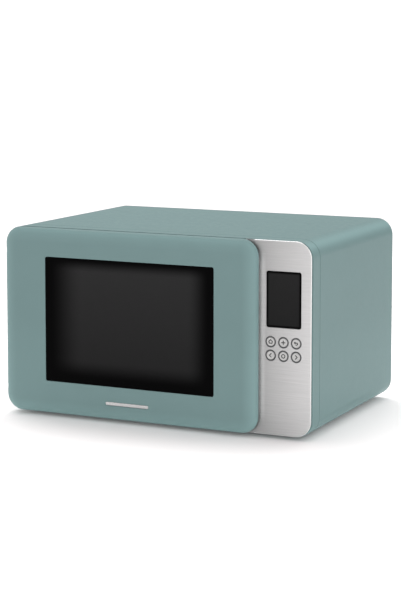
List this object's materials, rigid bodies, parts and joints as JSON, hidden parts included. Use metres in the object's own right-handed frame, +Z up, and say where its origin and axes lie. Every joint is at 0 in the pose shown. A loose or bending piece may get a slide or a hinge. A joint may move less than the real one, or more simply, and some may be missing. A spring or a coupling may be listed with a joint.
{
  "type": "microwave oven",
  "caption": "Countertop microwave oven with a side-hinged pillow-edged door, glass turntable, steel key panel and wrapped casing.",
  "frame": {"origin": "on the table, under the middle of the oven's bounding box", "axes": "+X to the user's right, +Y from the door to the rear pan, +Z up"},
  "size_m": [0.483, 0.386, 0.278],
  "materials": {
    "teal_paint": "satin metallic paint",
    "teal_moulding": "satin paint on moulded plastic",
    "brushed_steel": "brushed along the length of the panel's width",
    "polished_steel": "polished",
    "black_glass": "back-printed black, polished",
    "clear_glass": "clear, pressed",
    "clear_film": "clear film",
    "grey_enamel": "smooth enamel",
    "black_steel": "satin black",
    "zinc_steel": "galvanised sheet",
    "spring_steel": "drawn wire",
    "aluminium": "mill finish",
    "iron_core": "varnished laminations",
    "copper_wire": "enamelled wire",
    "black_plastic": "moulded",
    "grey_plastic": "moulded",
    "white_plastic": "moulded",
    "circuit_board": "solder mask",
    "mica": "mica sheet",
    "rubber": "matte"
  },
  "bodies": {
    "body": {"casing": "teal_paint", "front_frame": "teal_moulding", "front_plate": "grey_enamel", "cavity_liner": "grey_enamel", "base_plate": "zinc_steel", "rear_panel": "zinc_steel", "rear_screw_left": "zinc_steel", "rear_screw_right": "zinc_steel", "foot_front_left": "rubber", "foot_front_right": "rubber", "foot_rear_left": "rubber", "foot_rear_right": "rubber", "hinge_bracket_upper": "zinc_steel", "hinge_bracket_lower": "zinc_steel", "latch_board": "white_plastic", "door_switch_upper": "black_plastic", "door_switch_lower": "black_plastic", "control_fascia": "brushed_steel", "fascia_carrier": "grey_plastic", "display_window": "black_glass", "control_board": "circuit_board", "turntable_motor": "zinc_steel", "waveguide": "zinc_steel", "waveguide_cover": "mica", "magnetron_body": "aluminium", "magnetron_filter_box": "zinc_steel", "transformer_core": "iron_core", "transformer_primary": "copper_wire", "transformer_secondary": "copper_wire", "capacitor": "aluminium", "capacitor_clamp": "zinc_steel", "fan_shroud": "black_plastic", "fan_motor": "zinc_steel", "cavity_lamp": "clear_glass", "lamp_socket": "white_plastic", "filter_board": "circuit_board", "cord_gland": "rubber"},
    "door": {"door_shell": "teal_paint", "door_badge": "polished_steel", "door_glass": "black_glass", "door_inner_frame": "black_steel", "door_shield": "black_steel", "door_inner_film": "clear_film", "hinge_pin_upper": "spring_steel", "hinge_pin_lower": "spring_steel", "latch_spring": "spring_steel"},
    "latch": {"latch_hook": "white_plastic"},
    "coupler": {"drive_coupler": "white_plastic"},
    "turntable": {"glass_turntable": "clear_glass"},
    "roller_ring": {"roller_ring": "white_plastic"},
    "roller_1": {"roller_1": "white_plastic"},
    "roller_2": {"roller_2": "white_plastic"},
    "roller_3": {"roller_3": "white_plastic"},
    "fan": {"fan_blade": "grey_plastic"},
    "key_upper_left": {"key_upper_left": "brushed_steel"},
    "key_upper_middle": {"key_upper_middle": "brushed_steel"},
    "key_upper_right": {"key_upper_right": "brushed_steel"},
    "key_lower_left": {"key_lower_left": "brushed_steel"},
    "key_lower_middle": {"key_lower_middle": "brushed_steel"},
    "key_lower_right": {"key_lower_right": "brushed_steel"}
  },
  "joints": [
    {"name": "door_hinge", "type": "hinge", "parent": "body", "child": "door", "pos_m": [-0.233, -0.1855, 0.1415], "axis": [0, 0, -1], "range_deg": [0, 100]},
    {"name": "latch_lift", "type": "slide", "parent": "door", "child": "latch", "axis": [0, 0, 1], "range_m": [0, 0.005], "stiffness_N_per_m": 200, "springref_m": -0.004, "deforming": ["latch_spring"]},
    {"name": "turntable_spin", "type": "hinge", "parent": "body", "child": "coupler", "pos_m": [-0.044, 0.0095, 0.033], "axis": [0, 0, 1], "continuous": true},
    {"name": "turntable_lift_out", "type": "slide", "parent": "coupler", "child": "turntable", "axis": [0, 0, 1], "range_m": [0, 0.04]},
    {"name": "roller_ring_spin", "type": "hinge", "parent": "body", "child": "roller_ring", "pos_m": [-0.044, 0.0095, 0.039], "axis": [0, 0, 1], "continuous": true},
    {"name": "roller_1_spin", "type": "hinge", "parent": "roller_ring", "child": "roller_1", "pos_m": [-0.044, 0.11125, 0.039], "axis": [0, 1, 0], "continuous": true},
    {"name": "roller_2_spin", "type": "hinge", "parent": "roller_ring", "child": "roller_2", "pos_m": [-0.13212, -0.04138, 0.039], "axis": [-0.866, -0.5, 0], "continuous": true},
    {"name": "roller_3_spin", "type": "hinge", "parent": "roller_ring", "child": "roller_3", "pos_m": [0.04412, -0.04138, 0.039], "axis": [0.866, -0.5, 0], "continuous": true},
    {"name": "fan_spin", "type": "hinge", "parent": "body", "child": "fan", "pos_m": [0.186, 0.129, 0.165], "axis": [0, 1, 0], "continuous": true},
    {"name": "key_upper_left_press", "type": "slide", "parent": "body", "child": "key_upper_left", "axis": [0, 1, 0], "range_m": [0, 0.001], "stiffness_N_per_m": 200, "springref_m": -0.001},
    {"name": "key_upper_middle_press", "type": "slide", "parent": "body", "child": "key_upper_middle", "axis": [0, 1, 0], "range_m": [0, 0.001], "stiffness_N_per_m": 200, "springref_m": -0.001},
    {"name": "key_upper_right_press", "type": "slide", "parent": "body", "child": "key_upper_right", "axis": [0, 1, 0], "range_m": [0, 0.001], "stiffness_N_per_m": 200, "springref_m": -0.001},
    {"name": "key_lower_left_press", "type": "slide", "parent": "body", "child": "key_lower_left", "axis": [0, 1, 0], "range_m": [0, 0.001], "stiffness_N_per_m": 200, "springref_m": -0.001},
    {"name": "key_lower_middle_press", "type": "slide", "parent": "body", "child": "key_lower_middle", "axis": [0, 1, 0], "range_m": [0, 0.001], "stiffness_N_per_m": 200, "springref_m": -0.001},
    {"name": "key_lower_right_press", "type": "slide", "parent": "body", "child": "key_lower_right", "axis": [0, 1, 0], "range_m": [0, 0.001], "stiffness_N_per_m": 200, "springref_m": -0.001}
  ],
  "couplings": [
    {"joint": "roller_ring_spin", "follows": "turntable_spin", "ratio": 0.5},
    {"joint": "roller_1_spin", "follows": "turntable_spin", "ratio": -7.066},
    {"joint": "roller_2_spin", "follows": "turntable_spin", "ratio": -7.066},
    {"joint": "roller_3_spin", "follows": "turntable_spin", "ratio": -7.066}
  ]
}
